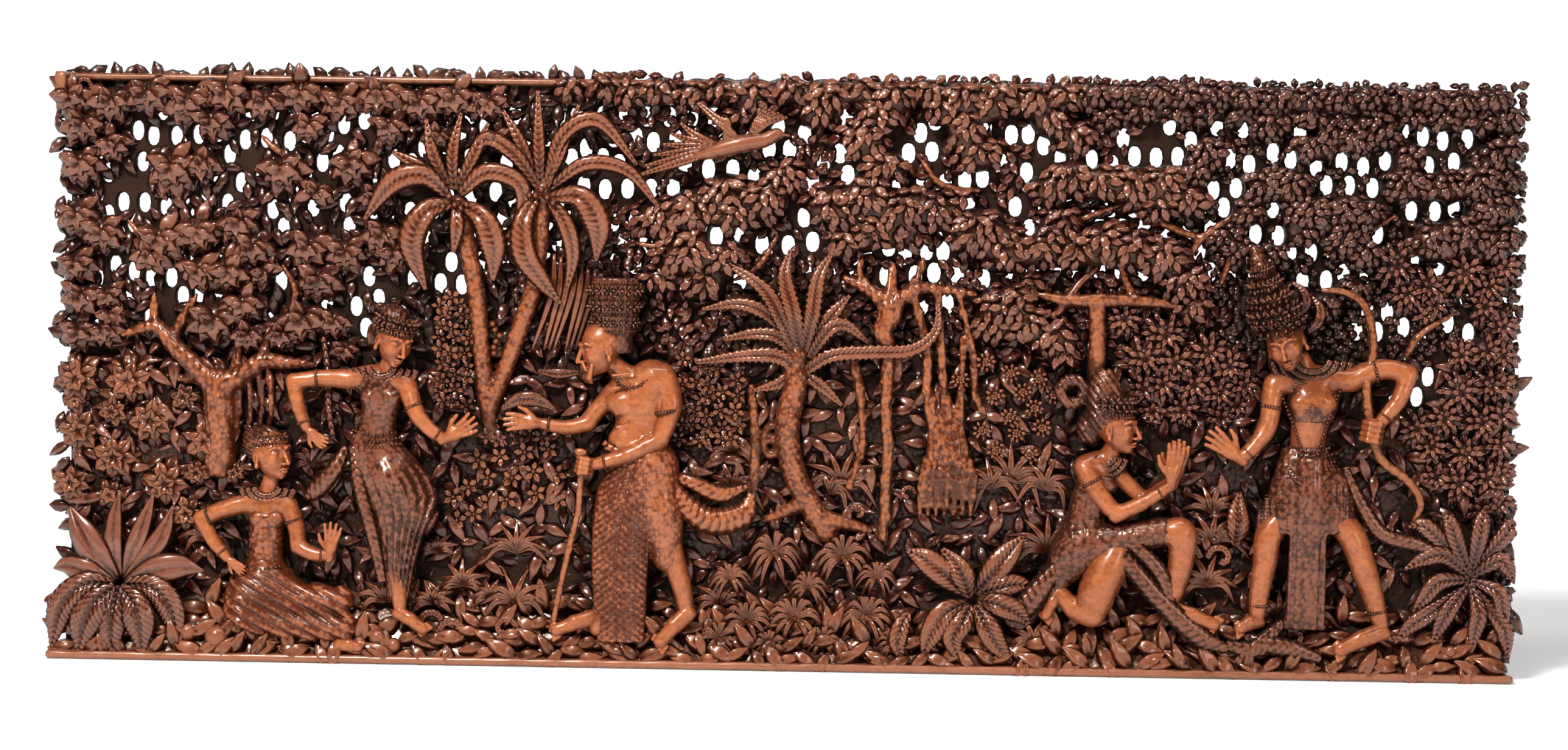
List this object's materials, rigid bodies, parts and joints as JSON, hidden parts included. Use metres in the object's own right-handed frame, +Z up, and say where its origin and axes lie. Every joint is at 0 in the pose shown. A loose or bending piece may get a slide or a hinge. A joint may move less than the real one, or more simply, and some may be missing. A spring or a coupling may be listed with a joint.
{
  "type": "carved wall panel",
  "caption": "Wide pierced high-relief wood carving of figures among trees, foliage and flowers, flat at the back to hang on a wall.",
  "frame": {"origin": "middle of the flat back, where it meets the wall", "axes": "+X to the right of someone who faces the carving, +Z up, +Y out of the flat back into the wall"},
  "size_m": [1.5062, 0.076, 0.6091],
  "materials": {
    "carved_wood": "varnished red-brown hardwood, nearly black in the recesses and polished to orange on the high spots"
  },
  "bodies": {
    "root": {"carved_panel": "carved_wood"}
  },
  "joints": []
}
